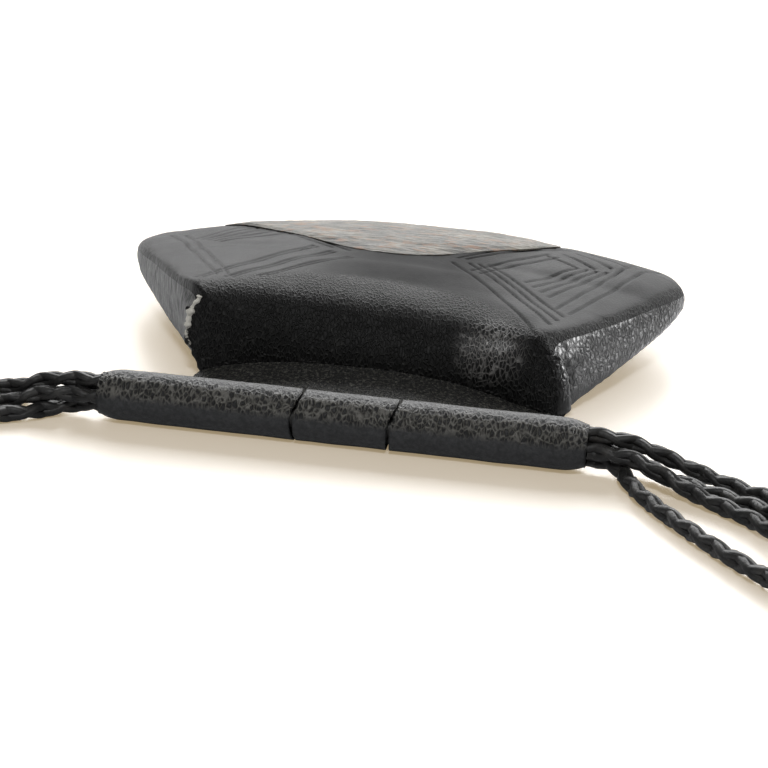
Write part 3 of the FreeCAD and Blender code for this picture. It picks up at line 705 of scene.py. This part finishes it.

# folds down over the walls: streaked, black on the right and grey on the left, where the grey
# is partly painted reflection of the white room
upward = face_finish.axis(face_finish.node("TexCoord", output="Normal"), "Z")
fold_share = face_finish.rise(upward, 0.93, 0.72)
streaks = face_finish.noise(face_finish.place((1, 1, 0.16)), 0.5, 4, 0.6)
streaks = face_finish.ramp(streaks, (0.38, 0), (0.64, 1))
folded = face_finish.mix(right_part, face_finish.mix(streaks, (0.06, 0.06, 0.06), (0.24, 0.24, 0.236)),
                         face_finish.mix(streaks, (0.014, 0.014, 0.014), (0.05, 0.05, 0.05)))

# satin top, with darker tooled lines
satin = face_finish.mix(wear, (0.010, 0.010, 0.010), (0.048, 0.048, 0.048))
mark = face_finish.node("Attribute", {"attribute_name": "mark"}, output="Fac")
tooled = face_finish.mix(mark, satin, (0.003, 0.003, 0.003))
middle_part = face_finish.rise(across.math("ABSOLUTE", across - 2), 24, 6, "SMOOTHSTEP")
face_finish.paint(
    Base_Color=face_finish.mix(fold_share, tooled, folded),
    Roughness=fine * 0.08 + 0.32 + middle_part * 0.25,
    Normal=face_finish.bump(fine, 0.08, 0.9))

# glossy front with a raised net of grain; in one patch it is glossier and its ridges are painted pale, a
# painted highlight
HIGHLIGHT_SPOT = (20.5, -31, 11.5)
grain = face_finish.cells(face_finish.place((1.25, 0.8, 0.6)), 0.75)
ridges = face_finish.ramp(grain + (wander - 0.5) * 0.12, (0.02, 1), (0.20, 0))
highlight_distance = face_finish.node("VectorMath", {"operation": "DISTANCE"}, {"Vector": spot, 1: HIGHLIGHT_SPOT}, "Value")
gloss_and_highlight = face_finish.rise(highlight_distance, 8, 2, "SMOOTHSTEP")
# painted highlight: near the spot the ridges turn pale
grained = face_finish.mix(ridges, (0.001, 0.001, 0.001),
                          face_finish.mix(gloss_and_highlight, (0.018, 0.018, 0.017), (0.26, 0.25, 0.24)))
front_share = face_finish.rise(back, -25, -28.5)
glossy = face_finish.node("BsdfPrincipled", None, {
    "Base Color": grained, "Roughness": 0.64 - gloss_and_highlight * 0.38, "Specular IOR Level": 0.45,
    "Coat Weight": gloss_and_highlight * ridges * 0.7, "Coat Roughness": 0.22,
    "Normal": face_finish.bump(ridges * (front_share * 0.8 + 0.6) + fine * 0.4, 0.22, 1)})
satin_share = top_share * (1 - fold_share * right_part)
face_finish.feed(face_finish.output.inputs["Surface"], face_finish.node("MixShader", None, {
    0: satin_share, 1: glossy, 2: Value(face_finish, face_finish.shader.outputs[0])}))

crown_rows = [row[UP_WALL:UP_WALL + ACROSS] for row in skin_rows]
# The front wall rises from the ground to the first row of the crown.
GROUND_CLEAR = 0.05 * MM
FRONT_HEIGHT = 14 * MM
wall_steps = round(crown_rows[0][ACROSS // 2].z / CELL)
face_rows = []
for k in range(wall_steps):
    share = k / wall_steps
    beside = Vector((BESIDE * MM, NEAR_Y + GROUND_CLEAR, GROUND_CLEAR + FRONT_HEIGHT * share))
    half = outside.ray_cast(beside, Vector((-1, 0, 0)))[0].x
    row = []
    for i, point in enumerate(crown_rows[0]):
        even_x = half * (1 - 2 * i / (ACROSS - 1))
        row.append(Vector((even_x * (1 - share) + point.x * share, NEAR_Y,
                           GROUND_CLEAR + (point.z - GROUND_CLEAR) * share)))
    face_rows.append(row)
face_rows += crown_rows
# The bend between them is softened, as far as some rows into the crown.
NEAR_SOFTENING = 40
NEAR_ROWS = 50
near_rows = wall_steps + NEAR_ROWS
face_rows[:near_rows] = softened(face_rows[:near_rows], NEAR_SOFTENING)
# The face turns down at the far end as far as its seam.
FAR_ROWS = 4
low = along(SEAM, FAR_Y)
for k in range(1, FAR_ROWS + 1):
    face_rows.append([Vector((p.x, FAR_Y, p.z + (low - p.z) * k / FAR_ROWS)) for p in crown_rows[-1]])

# Edge of the window in the face, in plan: the near side bows from its left end to its right one.
WINDOW_NEAR = ((-38.6, 25.2), (-34, 20.0), (-24.6, 11.0), (-13.7, 4.2), (-7, 1.2), (-1, 0.3), (4.6, 1.4),
               (13.4, 6.0), (20.6, 10.2), (26.0, 15.2), (29.1, 21.2))
WINDOW_FAR = ((-38.6, 26.2), (-30, 29.0), (-16, 31.8), (-4, 32.2), (10, 31.6), (29.1, 27.0))
window_near, window_far = (
    [tuple(point.xy) for point in smooth_line([Vector((x, y, 0)) * MM for x, y in edge])]
    for edge in (WINDOW_NEAR, WINDOW_FAR))


def in_window(x, y, inside):
    """Whether a place in plan lies in the window, at least so far inside its near edge."""
    if not window_near[0][0] + inside < x < window_near[-1][0] - inside:
        return False
    return along(window_near, x) + inside < y < along(window_far, x) - inside


def family(first, last, shares):
    """Straight lines between two border lines, each given by its two ends in plan (mm)."""
    ends = [(Vector(a), Vector(b)) for a, b in zip(first, last)]
    return [tuple(a.lerp(b, share) for a, b in ends) for share in shares]


TOOLED = (
    # three double lines from the left near corner, four lines from the right one
    family(((-33.2, -24.4), (-16.2, 1.6)), ((-20.2, -21.0), (-7.4, -5.4)), (0, 0.1, 0.44, 0.54, 0.9, 1))
    + family(((31.2, -28.6), (10.8, -0.4)), ((34.4, -17.6), (18.6, 0.2)), (0, 0.42, 0.66, 0.9))
    # borders along both outer edges
    + family(((-29.6, -21.8), (-46.8, 13.4)), ((-27.2, -21.8), (-43.6, 12.0)), (0, 1))
    + family(((32.4, -15.6), (46.4, 21.0)), ((35.0, -16.8), (48.6, 18.0)), (0, 1))
    # hatching on the left, nested chevrons on the right
    + family(((-40.5, 7.6), (-32.0, 19.0)), ((-34.4, 3.4), (-22.6, 9.6)), (0, 0.25, 0.5, 0.75, 1))
    + family(((15.2, -4.2), (27.6, 12.8)), ((17.0, -5.4), (29.6, 11.6)), (0, 1))
    + family(((25.6, -6.0), (33.9, 7.4)), ((30.6, -10.6), (39.6, 8.0)), (0, 0.34, 0.67, 1))
    + family(((27.9, 11.6), (33.9, 7.4)), ((35.6, 21.0), (43.4, 12.0)), (0, 0.34, 0.67, 1))
    # borders along the window's two arms
    + family(((-9.0, 0.2), (-38.6, 24.6)), ((-12.6, 1.4), (-40.4, 23.2)), (0, 1))
    + family(((11.5, 2.4), (29.6, 20.4)), ((13.2, 2.0), (31.4, 20.6)), (0, 1)))


# A tooled line's radius and reach in plan, in millimetres, and its depth; the bed under the
# inset; soft dents; and how far up the surface has to face to be tooled.
LINE_RADIUS = 0.29
LINE_REACH = 0.7
LINE_DEPTH = 0.26 * MM
BED_DEPTH, BED_INSIDE = 0.9 * MM, 0.4 * MM
DENT_DEPTH, DENT_SIZE = 0.25 * MM, 7 * MM
FACE_UP = 0.5


def tooling(x, y):
    """How deep the tooled lines are at a place in plan, from 0 to 1."""
    here = Vector((x, y)) / MM
    deepest = 0
    for start, end in TOOLED:
        run = end - start
        share = limited((here - start).dot(run) / run.length_squared)
        away = (here - start - run * share).length
        if away < LINE_REACH:
            deepest = max(deepest, hill(away / LINE_RADIUS))
    return deepest


def face_relief(point, normal):
    """Tooled lines, soft dents, and a sunken bed under the inset."""
    if normal.z > FACE_UP and in_window(point.x, point.y, BED_INSIDE):
        return -BED_DEPTH, 0
    height = noise.noise(point / DENT_SIZE) * DENT_DEPTH
    mark = tooling(point.x, point.y) if normal.z > FACE_UP else 0
    return height - LINE_DEPTH * mark, mark


dress(laid("face_panel", face_rows, 1.0 * MM, face_relief), face_finish, "pouch", "face_leather",
      "face_leather")

# ---------------------------------------------------------------- inset
# A mottled hide set into the window of the face and standing a little above the leather.
# Its rows follow the window's edge and lie on the crown of the face.
hide_finish = Finish("mottled_hide")
fibres = hide_finish.noise(hide_finish.place((0.35, 1.6, 1), (0, 0, 0.5)), 1.3, 5, 0.65)
patches = hide_finish.noise(hide_finish.place(), 6, 4, 0.6)
flecks = hide_finish.noise(hide_finish.place((0.5, 1.2, 1)), 2.2, 5, 0.7)
ground = hide_finish.ramp(fibres * 0.6 + patches * 0.4, (0.36, (0.06, 0.058, 0.052)),
                          (0.5, (0.155, 0.147, 0.125)), (0.66, (0.35, 0.325, 0.27)))
rust = hide_finish.ramp(flecks, (0.52, 0), (0.68, 1))
hide_finish.paint(
    Base_Color=hide_finish.mix(rust * 0.75, ground, (0.33, 0.16, 0.07)),
    Roughness=fibres * 0.3 + 0.38,
    Normal=hide_finish.bump(fibres + flecks * 0.5, 0.5, 0.8))

crown = BVHTree.FromBMesh(sheet_grid(crown_rows), epsilon=0.01 * MM)


def crown_at(x, y):
    """The face's surface at a place in plan; a ray that slips through an edge is cast beside it."""
    above = Vector((x, y, ABOVE * MM))
    beside = above + Vector((0.02, 0.03, 0)) * MM
    return crown.ray_cast(above, DOWN)[0] or crown.ray_cast(beside, DOWN)[0]


INSET_ACROSS, INSET_BACK = 179, 89
# The inset's edge rises within a twelfth of its width, from 0.35 of its full height.
EDGE_PARTS = 12
EDGE_STANDS = 0.35
inset_left, inset_right = window_near[0][0], window_near[-1][0]
inset_rows = []
for k in range(INSET_BACK + 1):
    back_share = k / INSET_BACK
    row = []
    for i in range(INSET_ACROSS + 1):
        left_share = i / INSET_ACROSS
        x = inset_right + (inset_left - inset_right) * i / INSET_ACROSS
        near, far = along(window_near, x), along(window_far, x)
        y = near + (far - near) * k / INSET_BACK
        inward = min(back_share, 1 - back_share, left_share, 1 - left_share)
        rise = EDGE_STANDS + (1 - EDGE_STANDS) * min(1, EDGE_PARTS * inward)
        row.append(crown_at(x, y) + Vector((0, 0, INSET_STANDS * rise)))
    inset_rows.append(row)


def inset_relief(point, normal):
    """Fibres lie rough on the hide."""
    height = noise.fractal(Vector((point.x * 0.35, point.y * 1.4, 0)) / (1.4 * MM), 0.7, 2, 3)
    return height * 0.09 * MM, 0


dress(laid("hide_inset", inset_rows, 1.2 * MM, inset_relief), hide_finish, "pouch", "inset_hide",
      "window_inset")

# ---------------------------------------------------------------- side walls
# Two walls of softer, wrinkled leather between the face and the back: streaked on the left, in
# a pale grey that is partly painted reflection of the white room, black and crinkled on the right.
side_finish = Finish("wrinkled_leather", Coat_Roughness=0.2)
spot = side_finish.place()
streaks = side_finish.noise(side_finish.place((1, 1, 0.16)), 0.5, 4, 0.6)
wander = side_finish.noise(spot, 1.3, 3)
worn = side_finish.noise(spot, 5, 4, 0.6)
right_part = side_finish.rise(side_finish.axis(spot, "X"), -5, 5)
upper_part = side_finish.rise(side_finish.axis(spot, "Z") + wander * 2, 4.5, 7)
crinkled = right_part * upper_part
crackle = side_finish.cells(side_finish.place((1, 1, 0.8)), 1.0)
plates = side_finish.ramp(crackle + (wander - 0.5) * 0.2, (0, 0), (0.3, 1))
lines = side_finish.ramp(streaks, (0.38, 0), (0.64, 1))
# the left walls' paler grey is partly painted reflection of the white room; the streaks and wear are the
# leather's own
side_finish.paint(
    Base_Color=side_finish.mix((lines * 0.7 + worn * 0.5) * (1 - right_part * 0.94),
                               (0.02, 0.02, 0.02), (0.36, 0.36, 0.355)),
    Coat_Weight=crinkled * plates,
    Roughness=0.46 - crinkled * 0.16,
    Normal=side_finish.bump(streaks * (1 - crinkled) * 0.6 + plates * (crinkled * 1.1 + 0.05), 0.42, 0.9))

walls = {"right": [], "left": []}
for y, row in zip(row_ys, skin_rows):
    if y < SIDES_END:
        walls["right"].append(row[:UP_WALL + 1])
        walls["left"].append(row[UP_WALL + ACROSS - 1:])


def wall_relief(point, normal):
    """Wrinkles that run up the wall."""
    drawn = Vector((point.x + point.y, point.y, point.z * 0.4)) / (1.6 * MM)
    return noise.fractal(drawn, 0.8, 2, 4) * 0.10 * MM, 0


for side, rows in walls.items():
    dress(laid(f"{side}_wall", rows, 0.9 * MM, wall_relief), side_finish, "pouch", "side_leather",
          f"{side}_side_leather")

# ---------------------------------------------------------------- corner seams
# Ragged edges of the leather where the walls meet the narrow end; the left one is worn pale.
# They belong to the walls and stand for no node of their own.
worn_finish = Finish("worn_edge", Specular_IOR_Level=0.4)
spot = worn_finish.place()
scuffs = worn_finish.noise(spot, 0.8, 5, 0.65)
pale_part = worn_finish.rise(worn_finish.axis(spot, "Z") + (scuffs - 0.5) * 16, 7.6, 9.6)
left_only = worn_finish.rise(worn_finish.axis(spot, "X"), 0, -10)
worn_finish.paint(
    Base_Color=worn_finish.mix(pale_part * left_only, (0.010, 0.010, 0.010), (0.95, 0.92, 0.83)),
    Roughness=left_only * 0.35 + 0.38,
    Normal=worn_finish.bump(scuffs, 0.5, 0.8))

# The left corner is a thin ragged ridge; the right one is folded round and full.
# Each is a ridge 220 degrees round, open towards the pouch.
CORNER_ROWS, CORNER_POINTS = 70, 16
CORNER_LOW = 0.6 * MM
CORNER_SPAN = 220
THINNEST = 0.15 * MM
CORNERS = (
    # name, side, radius, its unevenness and where that is full, distance inward, top, finish
    ("left_edge", -1, 0.6 * MM, 1.1 * MM, 9 * MM, 0.45 * MM, 14.3 * MM, worn_finish),
    ("right_edge", 1, 1.5 * MM, 0.25 * MM, CORNER_LOW, 1.2 * MM, 12.6 * MM, side_finish))
for name, side, full, uneven, uneven_from, inward, end, finish in CORNERS:
    rows = []
    for k in range(CORNER_ROWS + 1):
        z = CORNER_LOW + (end - CORNER_LOW) * k / CORNER_ROWS
        beside = Vector((side * BESIDE * MM, NEAR_Y + 1.2 * MM, z))
        edge = outside.ray_cast(beside, Vector((-side, 0, 0)))[0]
        ragged = uneven * min(1, z / uneven_from)
        thick = max(THINNEST, full + noise.noise(Vector((side * 9, 3, z / (1.1 * MM)))) * ragged)
        jog = noise.noise(Vector((side * 5, 1, z / (2.4 * MM)))) * 0.4 * MM
        middle = Vector((edge.x - side * inward + jog, NEAR_Y + inward, z))
        row = []
        for i in range(CORNER_POINTS + 1):
            angle = math.radians(45 * side - 90 + CORNER_SPAN * (0.5 - i / CORNER_POINTS))
            row.append(middle + Vector((math.cos(angle), math.sin(angle), 0)) * thick)
        rows.append(row)
    dress(laid(name, rows, 0.2 * MM), finish, "pouch", "side_leather")

# ---------------------------------------------------------------- far end, back and filling
# The other pieces of the pouch keep their form and take the same skew as the skins.  The far
# end and the filling are drawn in a little, as they give way where the skins are soft.
board_finish = Finish("grey_board", Roughness=0.9, Base_Color=(0.35, 0.28, 0.2, 1))
paper_finish = Finish("folded_paper", Roughness=0.85, Base_Color=(0.72, 0.69, 0.62, 1))
cloth_finish = Finish("lining_cloth", Roughness=0.95, Base_Color=(0.10, 0.095, 0.09, 1))
COPIES = (
    # name, node, finish, slot, share of its size
    ("far_end", "far_end_leather", side_finish, "side_leather", 0.985),
    ("back", "back_leather", side_finish, "side_leather", 1),
    ("board", "face_board", board_finish, "board", 0.965),
    ("wrap", "packet_wrap", cloth_finish, "wrap_cloth", 0.965),
    ("packet", "inner_packet", paper_finish, "packet", 0.965))
# Planes that divide long faces, so that they bend.
PLANES = [((x * MM, 0, 0), (1, 0, 0)) for x in range(-50, 51, 4)]
PLANES += [((0, y * MM, 0), (0, 1, 0)) for y in range(-26, 38, 3)]
for name, node, finish, slot, share in COPIES:
    shape = bmesh.new()
    shape.from_mesh(NODES[node].data)
    bmesh.ops.remove_doubles(shape, verts=shape.verts, dist=0.005 * MM)
    for point, normal in PLANES:
        bmesh.ops.bisect_plane(shape, geom=shape.verts[:] + shape.edges[:] + shape.faces[:],
                               plane_co=point, plane_no=normal)
    for vert in shape.verts:
        vert.co = askew(POUCH_MIDDLE.lerp(vert.co, share))
    dress(shown(name, mesh_of(name, shape)), finish, "pouch", slot, node)

# ---------------------------------------------------------------- cord tube
# Leather rolled round the cords and parted by two slits; pebbled above, smooth and worn below.
# Each length is a tube with its bore, whose edges bow along X where a slit parts it.
tube_finish = Finish("pebbled_leather", Specular_IOR_Level=0.45)
spot = tube_finish.place()
height = tube_finish.axis(spot, "Z")
fine = tube_finish.noise(spot, 0.35, 4, 0.6)
wander = tube_finish.noise(spot, 1.0, 3)
mottle = tube_finish.ramp(tube_finish.noise(spot, 0.8, 5, 0.7), (0.4, 0), (0.65, 1))
pebbles = tube_finish.cells(tube_finish.place((1.35, 0.8, 0.8)), 0.95)
net = tube_finish.ramp(pebbles + (wander - 0.5) * 0.5, (0.02, 1), (0.26, 0))
upper_part = tube_finish.rise(height + wander * 1.6, 5.6, 6.8)
worn_top = tube_finish.rise(height + wander * 0.4, 8.2, 8.8)
pebbled = upper_part * (1 - worn_top * 0.8)
tube_finish.paint(
    Base_Color=tube_finish.mix(
        pebbled, tube_finish.mix(mottle, (0.022, 0.023, 0.024), (0.052, 0.053, 0.055)),
        tube_finish.mix(net, (0.005, 0.005, 0.005), (0.15, 0.145, 0.13))),
    Roughness=fine * 0.2 + 0.36,
    Normal=tube_finish.bump(net * pebbled + fine * 0.35, 0.35, 0.9))

BORE = 3.64 * MM
TUBE = AXIS_Z
TUBE_CELL = 0.42 * MM
AROUND = 132
TAPER_LENGTH, TAPER_DEPTH = 4 * MM, 0.9 * MM
LUMP_SIZE, LUMP_DEPTH = 0.55 * MM, 0.05 * MM
SAG_SIZE, SAG_DEPTH = 7 * MM, 0.12 * MM
# Slit edges: how far each edge bows along X at the top, at mid height and below.
SLITS = {"left": (2.1, 0.8, 1.2), "right": (1.6, 0.3, 0.0)}
SLIT_OPEN = 0.1 * MM


def bowed(slit, angle):
    """Shift of a slit's edge at an angle round the tube, measured from its top."""
    top, middle, below = (shift * MM for shift in SLITS[slit])
    height = math.cos(angle)
    return middle + ((top if height > 0 else below) - middle) * height ** 2


# Each length of the tube, with the slit at its left end and the one at its right end.
LENGTHS = (("left", None, "left"), ("middle", "left", "right"), ("right", "right", None))
for length_name, left_slit, right_slit in LENGTHS:
    node = f"cord_tube_{length_name}"
    start, end = (corner.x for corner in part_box(node))
    count = round((end - start) / TUBE_CELL)
    shape = bmesh.new()
    profile = [(start, BORE)] + [(start + (end - start) * k / count, TUBE) for k in range(count + 1)]
    profile.append((end, BORE))
    verts = [shape.verts.new((x, AXIS_Y, AXIS_Z + r)) for x, r in profile]
    edges = [shape.edges.new(pair) for pair in zip(verts, verts[1:] + verts[:1])]
    bmesh.ops.spin(shape, geom=verts + edges, cent=(0, AXIS_Y, AXIS_Z), axis=(1, 0, 0),
                   angle=2 * math.pi, steps=AROUND, use_merge=True)
    for vert in shape.verts:
        spoke = Vector((0, vert.co.y - AXIS_Y, vert.co.z - AXIS_Z))
        angle = math.atan2(-spoke.y, spoke.z)
        share = (vert.co.x - start) / (end - start)
        shift = 0
        if left_slit:
            shift += (bowed(left_slit, angle) + SLIT_OPEN) * max(0, 1 - share * 2)
        if right_slit:
            shift += (bowed(right_slit, angle) - SLIT_OPEN) * max(0, share * 2 - 1)
        if spoke.length > TUBE - 0.01 * MM:
            # the tube tapers towards its mouths, but not towards a slit
            from_mouth = min(math.inf if left_slit else vert.co.x - start,
                             math.inf if right_slit else end - vert.co.x)
            taper = max(0, 1 - from_mouth / TAPER_LENGTH) ** 2 * TAPER_DEPTH
            lump = noise.noise(vert.co / LUMP_SIZE) * LUMP_DEPTH * limited(spoke.z / TUBE + 0.7)
            sag = noise.noise(vert.co / SAG_SIZE) * SAG_DEPTH
            radius = TUBE - taper + lump + sag
            vert.co = Vector((vert.co.x, AXIS_Y, AXIS_Z)) + spoke.normalized() * radius
        vert.co.x += shift
        vert.co.z = max(vert.co.z, 0.0)
    bmesh.ops.recalc_face_normals(shape, faces=shape.faces)
    name = f"{length_name}_tube"
    mesh = mesh_of(name, shape)
    mesh.shade_smooth()
    dress(shown(name, mesh), tube_finish, "cord_tube", "tube_leather", node)

# ---------------------------------------------------------------- hanging web
# The flap of the same pebbled leather that joins the tube to the pouch's narrow end.
web_finish = Finish("rough_web", Specular_IOR_Level=0.55)
pebbles = web_finish.cells(web_finish.place(), 0.75)
specks = web_finish.ramp(web_finish.noise(web_finish.place(), 0.5, 4, 0.7), (0.50, 0), (0.72, 1))
web_finish.paint(
    Base_Color=web_finish.mix(specks, (0.018, 0.018, 0.017), (0.46, 0.45, 0.40)),
    Roughness=0.5 - specks * 0.2,
    Normal=web_finish.bump(specks - pebbles, 0.5, 1.0))

# It runs from the tube's back to the crease, where it rises in a low arch.
WEB_BACK, WEB_ACROSS = 60, 149
WEB_MIDDLE = -1.5 * MM
TUBE_HALF, CREASE_HALF = 35.5 * MM, 32 * MM
WEB_START, WEB_END = AXIS_Y + 3.6 * MM, NEAR_Y - 0.25 * MM
TUBE_HEIGHT = 3.9 * MM
ARCH_MIDDLE, ARCH_LEFT, ARCH_RIGHT = 1 * MM, 38 * MM, 27 * MM
ARCH_HEIGHT, ARCH_FOOT = 6 * MM, 0.5 * MM
DROOP = 0.8 * MM
WAVE_SIZE, WAVE_DEPTH = 6 * MM, 0.35 * MM
WEB_LOWEST = 0.7 * MM
web_rows = []
for k in range(WEB_BACK + 1):
    share = k / WEB_BACK
    half = TUBE_HALF + (CREASE_HALF - TUBE_HALF) * share
    y = WEB_START + (WEB_END - WEB_START) * share
    middle = math.sin(math.pi * share)
    row = []
    for i in range(WEB_ACROSS + 1):
        x = WEB_MIDDLE + half * (1 - 2 * i / WEB_ACROSS)
        reach = ARCH_RIGHT if x > ARCH_MIDDLE else ARCH_LEFT
        crest = ARCH_HEIGHT * max(0, 1 - ((x - ARCH_MIDDLE) / reach) ** 2)
        z = TUBE_HEIGHT * (1 - share) + (crest + ARCH_FOOT) * share - DROOP * middle
        z += noise.noise(Vector((x, y, 0)) / WAVE_SIZE) * WAVE_DEPTH * middle
        row.append(Vector((x, y, max(z, WEB_LOWEST))))
    web_rows.append(row)


def web_relief(point, normal):
    """A rough, lumpy surface."""
    return noise.noise(point / (0.6 * MM)) * 0.12 * MM, 0


web = laid("web", web_rows, 0.6 * MM, web_relief)
web.data.materials.append(web_finish.material)
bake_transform(web)
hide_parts("hanging_web")
